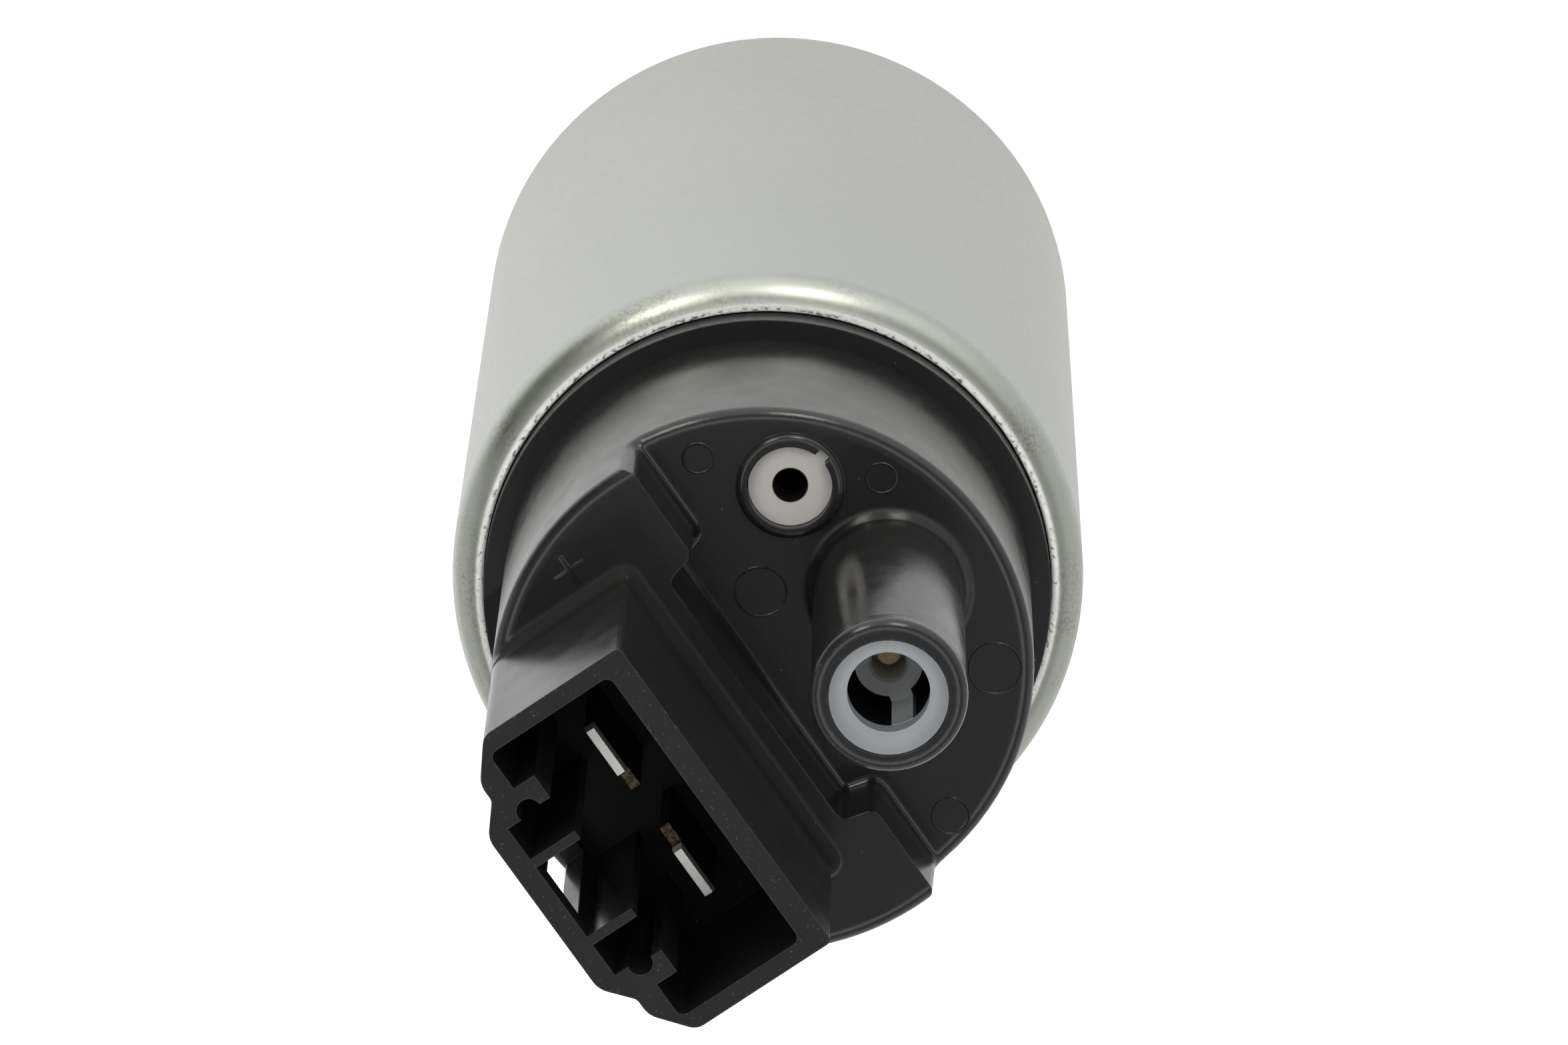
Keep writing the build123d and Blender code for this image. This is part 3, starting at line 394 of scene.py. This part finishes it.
finishes = {
    "zinc_steel": zinc_steel(),
    "black_plastic": black_plastic(),
    "tinned_brass": tinned_brass(),
    "white_plastic": guide_plastic(),
    "warm_white_plastic": vent_plastic(),
    "brown_resin": moulded("brown_resin", (0.13, 0.075, 0.04, 1), (0.09, 0.05, 0.03, 1), 0.45),
    "carbon": moulded("carbon", (0.05, 0.05, 0.055, 1), (0.025, 0.025, 0.03, 1), 0.55),
    "ferrite": moulded("ferrite", (0.1, 0.1, 0.105, 1), (0.06, 0.06, 0.065, 1), 0.6),
    "fuel_rubber": moulded("fuel_rubber", (0.03, 0.03, 0.03, 1), (0.018, 0.018, 0.018, 1), 0.6),
    "brass": metal("brass", (0.95, 0.82, 0.46, 1), (0.82, 0.69, 0.36, 1), 0.45, 0.6),
    "copper": metal("copper", (0.72, 0.38, 0.22, 1), (0.55, 0.27, 0.15, 1), 0.35, 0.5, 3.0, (1, 1, 3)),
    "copper_wire": metal(
        "copper_wire", (0.5, 0.2, 0.08, 1), (0.34, 0.12, 0.05, 1), 0.25, 0.4, 2.0, (1, 1, 4), depth_mm=0.05
    ),
    "spring_steel": metal("spring_steel", (0.55, 0.55, 0.56, 1), (0.42, 0.42, 0.43, 1), 0.25, 0.4, 3.0),
    "sintered_bronze": metal("sintered_bronze", (0.45, 0.32, 0.18, 1), (0.3, 0.2, 0.1, 1), 0.45, 0.6, 4.0),
    "ground_steel": metal(
        "ground_steel", (0.7, 0.7, 0.71, 1), (0.6, 0.6, 0.62, 1), 0.12, 0.25, 2.0, (1, 1, 6)
    ),
    "die_cast_aluminium": metal(
        "die_cast_aluminium", (0.62, 0.63, 0.64, 1), (0.5, 0.51, 0.52, 1), 0.38, 0.52, 1.2
    ),
    "electrical_steel": electrical_steel(),
}


def dress_nodes():
    for part in frame["record"]["subparts"]:
        mesh = frame["nodes"][part["node"]].data
        mesh.materials.clear()
        mesh.materials.append(finishes[part["material_slot"]])


def flexing_pieces():
    """The springs and leads, copied and hung on their joint's parent body in place of their CAD nodes."""
    for joint in frame["joints"]:
        for row in joint.get("deforming_nodes", []):
            node = row["node"]
            piece = bpy.data.objects.new(node + "_flexing", frame["nodes"][node].data.copy())
            scene.collection.objects.link(piece)
            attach(piece, joint["parent"])
            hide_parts(node)
            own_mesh(piece)


# Moulding marks on the outlet cover, too fine for the CAD
def on_cover(name, bm):
    mesh = bpy.data.meshes.new(name)
    bm.to_mesh(mesh)
    bm.free()
    mesh.shade_smooth()
    mark = bpy.data.objects.new(name, mesh)
    scene.collection.objects.link(mark)
    mesh.materials.append(finishes["black_plastic"])
    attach(mark, "pump_body")


def witness_line(name, x, y, radius, level, half_wide, rise):
    """A closed raised line with gentle sides, as a worn ejector pin leaves it."""
    bm = bmesh.new()
    points = 5
    profile = [(half_wide * (1 - i / 2), rise * (1 - abs(1 - i / 2))) for i in range(points)]
    steps = max(32, int(radius * 14))
    rows = []
    for i in range(steps):
        turn = 2 * pi * i / steps
        row = []
        for out, up in profile:
            far = radius + out
            row.append(bm.verts.new(Vector((x + far * cos(turn), y + far * sin(turn), level + up)) * MM))
        rows.append(row)
    for row, following in zip(rows, rows[1:] + rows[:1]):
        for i in range(points):
            j = (i + 1) % points
            bm.faces.new((row[i], following[i], following[j], row[j]))
    bmesh.ops.recalc_face_normals(bm, faces=bm.faces)
    on_cover(name, bm)


def plus_mark(name, x, y, level, half, half_wide, rise):
    """A raised plus with sloping sides."""
    bm = bmesh.new()
    levels = []
    for inset, up in ((0, -rise), (0, 0), (1.5 * rise, rise)):
        w, h = half_wide - inset, half - inset
        corners = [(w, w), (w, h), (-w, h), (-w, w), (-h, w), (-h, -w)]
        corners += [(-a, -b) for a, b in corners]
        levels.append([bm.verts.new(Vector((x + a, y + b, level + up)) * MM) for a, b in corners])
    for lower, upper in zip(levels, levels[1:]):
        for i in range(len(lower)):
            j = (i + 1) % len(lower)
            bm.faces.new((lower[i], lower[j], upper[j], upper[i]))
    bm.faces.new(levels[0])
    bm.faces.new(levels[-1])
    bmesh.ops.recalc_face_normals(bm, faces=bm.faces)
    on_cover(name, bm)


def moulding_marks():
    for i, (x, y, radius) in enumerate(pin_marks):
        witness_line(f"pin_mark_{i + 1}", x, y, radius, face_top, half_wide=0.07, rise=0.0045)
    plus_mark("plus_mark", *plus_at, plateau_top, half=1.0, half_wide=0.16, rise=0.014)


# Studio: a pale floor, a light tent that is dimmer overhead, and soft lamps
def seen_rays(look):
    """1 for rays from the camera, and for those that reach a surface by reflection or through glass."""
    path = add(look.tree, "LightPath").outputs
    glossy = look.math("MAXIMUM", path["Is Camera Ray"], path["Is Glossy Ray"])
    return look.math("MAXIMUM", glossy, path["Is Transmission Ray"])


def along_way(tree, vector, way):
    return add(tree, "VectorMath", {"operation": "DOT_PRODUCT"}, {0: vector, 1: way}).outputs["Value"]


def make_floor():
    mesh = bpy.data.meshes.new("floor")
    bm = bmesh.new()
    bmesh.ops.create_circle(bm, cap_ends=True, segments=96, radius=floor_radius)
    bm.to_mesh(mesh)
    bm.free()
    floor = bpy.data.objects.new("floor", mesh)
    floor.location.z = cad_box[0][2] - floor_gap
    scene.collection.objects.link(floor)
    look = Finish("floor", 0.0, 0.8)
    tree = look.tree
    tree.nodes.remove(look.shader)
    matt = add(tree, "BsdfDiffuse", inputs={"Color": grey(0.82)})
    across = along_way(tree, look.place, image_left)
    level = look.ramp(across, floor_glow - floor_tilt, floor_glow + floor_tilt, -60.0, 60.0)
    seen = add(tree, "LightPath").outputs["Is Camera Ray"]
    seen = look.math("MULTIPLY_ADD", seen, floor_seen, level)
    glow = add(tree, "Emission", inputs={"Color": grey(1.0), "Strength": seen})
    lit = add(tree, "AddShader", inputs={0: matt.outputs[0], 1: glow.outputs[0]})
    mixed = add(tree, "MixShader", inputs={0: seen_rays(look), 1: matt.outputs[0], 2: lit.outputs[0]})
    out = tree.nodes["Material Output"]
    tree.links.new(mixed.outputs[0], out.inputs["Surface"])
    mesh.materials.append(look.material)


def step(tree, value, start, end, low, high):
    inputs = {"Value": value, "From Min": start, "From Max": end, "To Min": low, "To Max": high}
    return add(tree, "MapRange", {"interpolation_type": "SMOOTHSTEP"}, inputs).outputs["Result"]


def blend(tree, amount, first, second):
    inputs = {0: amount, 2: first, 3: second}
    return add(tree, "Mix", {"data_type": "FLOAT"}, inputs).outputs[0]


def make_world():
    world = bpy.data.worlds.new("world")
    scene.world = world
    world.use_nodes = True
    tree = world.node_tree
    tree.nodes.clear()
    way = add(tree, "TexCoord").outputs["Generated"]
    height = add(tree, "SeparateXYZ", inputs={"Vector": way}).outputs["Z"]
    back = along_way(tree, way, image_up)
    dark = along_way(tree, way, dark_side)
    low = step(tree, back, 0.3, 0.9, sky_low, sky_back)
    level = blend(tree, step(tree, dark, 0.84, 0.96, 0, 1), low, sky_dark)
    for start, end, above in sky_bands:
        level = blend(tree, step(tree, height, start, end, 0, 1), level, above)
    lit = add(tree, "Background", inputs={"Color": grey(1.0), "Strength": level})
    seen = add(tree, "Background", inputs={"Color": grey(1.0), "Strength": 1.0})
    camera_ray = add(tree, "LightPath").outputs["Is Camera Ray"]
    mixed = add(tree, "MixShader", inputs={0: camera_ray, 1: lit.outputs[0], 2: seen.outputs[0]})
    out = add(tree, "OutputWorld")
    tree.links.new(mixed.outputs[0], out.inputs["Surface"])


def softbox(name, heading, height, distance, wide, tall, radiance):
    data = bpy.data.lights.new(name, "AREA")
    data.shape = "RECTANGLE"
    data.size = wide
    data.size_y = tall
    data.color = (1.0, 0.96, 0.87)
    data.energy = radiance * pi * wide * tall
    lamp = bpy.data.objects.new(name, data)
    scene.collection.objects.link(lamp)
    way = Vector((cos(radians(height)), 0, sin(radians(height))))
    way.rotate(Matrix.Rotation(radians(heading), 3, "Z"))
    lamp.location = lip_centre + way * distance
    lamp.rotation_euler = way.to_track_quat("Z", "Y").to_euler()


make_camera()
dress_nodes()
flexing_pieces()
moulding_marks()
make_floor()
make_world()
for name, heading in (("lamp_left", 172), ("lamp_right", 136)):
    softbox(name, heading, height=8, distance=0.8, wide=0.2, tall=0.26, radiance=6.0)
scene.view_settings.view_transform = "Standard"
